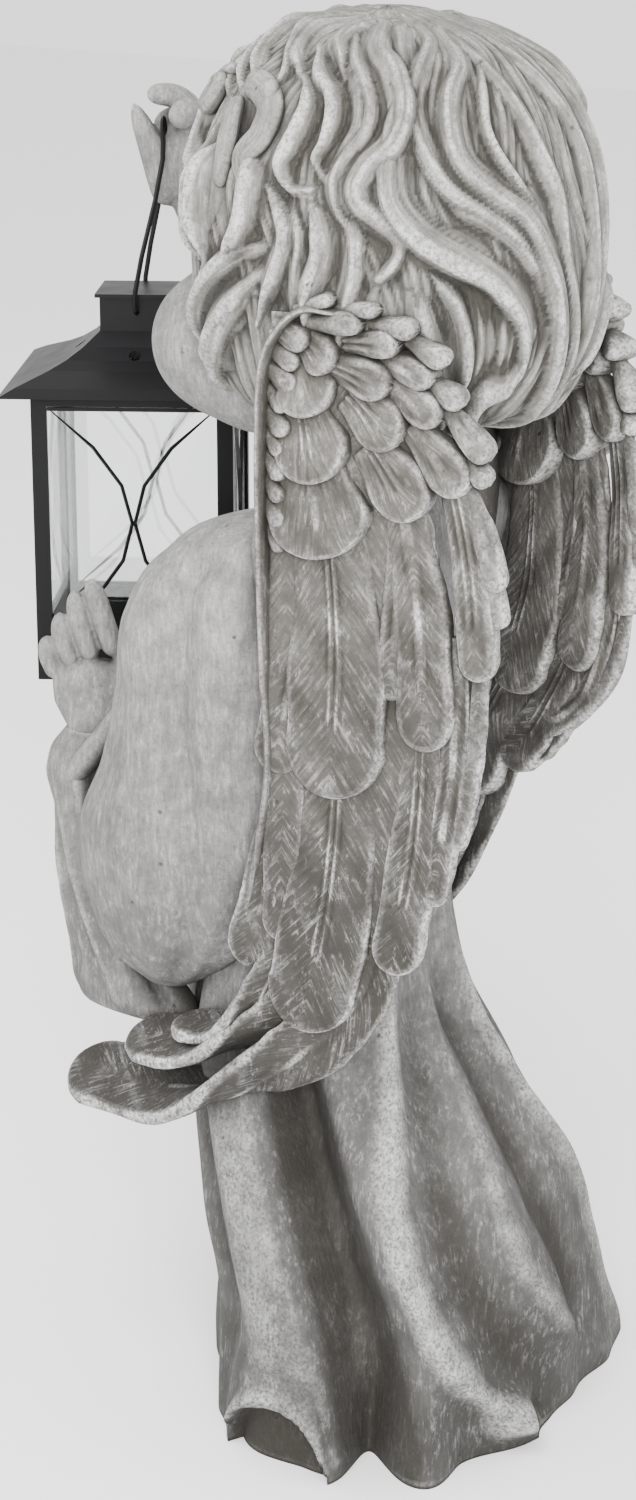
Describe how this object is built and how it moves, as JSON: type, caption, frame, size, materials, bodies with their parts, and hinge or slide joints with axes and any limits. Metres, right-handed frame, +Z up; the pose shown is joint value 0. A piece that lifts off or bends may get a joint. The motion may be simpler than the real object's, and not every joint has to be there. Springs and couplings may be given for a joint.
{
  "type": "cemetery angel statue",
  "caption": "Standing child angel in cast stone with folded wings and a flowing robe, holding a small square candle lantern on a wire bail from one raised hand",
  "frame": {"origin": "on the ground under the middle of the figure, in the plane of its flat underside", "axes": "+Z up, the figure faces -Y, +X is the figure's left side"},
  "size_m": [0.3013, 0.4461, 0.76],
  "materials": {
    "stone": "weathered grey cast stone, brown wash in the recesses and pale dry-brushed edges",
    "iron": "semi-matte black paint on sheet steel and wire",
    "glass": "clear flat glass with a faint green edge"
  },
  "bodies": {
    "root": {"angel_figure": "stone", "lantern_bail": "iron", "lantern_roof": "iron", "lantern_frame": "iron", "lantern_glass_front": "glass", "lantern_glass_right": "glass", "lantern_glass_back": "glass", "lantern_glass_left": "glass", "lantern_grille_front": "iron", "lantern_grille_right": "iron", "lantern_grille_back": "iron", "lantern_grille_left": "iron"}
  },
  "joints": []
}
